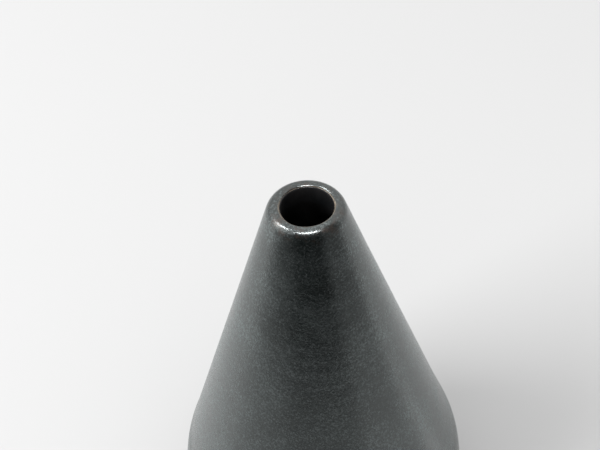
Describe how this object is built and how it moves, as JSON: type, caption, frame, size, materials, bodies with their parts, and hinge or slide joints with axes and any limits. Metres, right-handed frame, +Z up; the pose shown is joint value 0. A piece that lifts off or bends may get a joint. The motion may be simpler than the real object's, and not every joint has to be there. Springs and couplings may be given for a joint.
{
  "type": "vase",
  "caption": "Tall stoneware bottle vase: a straight tapering cone with a small rounded mouth on a round bowl with a turned foot, satin charcoal glaze outside, dark liner inside.",
  "frame": {"origin": "centre of the foot ring, at the level the vase stands on", "axes": "+Z up along the throwing axis, towards the mouth; X and Y are alike, because the vase is round"},
  "size_m": [0.1264, 0.1264, 0.215],
  "materials": {
    "stoneware": "bare fired stoneware, sanded smooth, matt",
    "slip": "fired joining slip, matt",
    "satin_glaze": "satin charcoal glaze with fine flecks and pits",
    "liner_glaze": "glossy black liner glaze"
  },
  "bodies": {
    "root": {"lower_section": "stoneware", "upper_section": "stoneware", "joining_slip": "slip", "outer_glaze": "satin_glaze", "liner_glaze": "liner_glaze"}
  },
  "joints": []
}
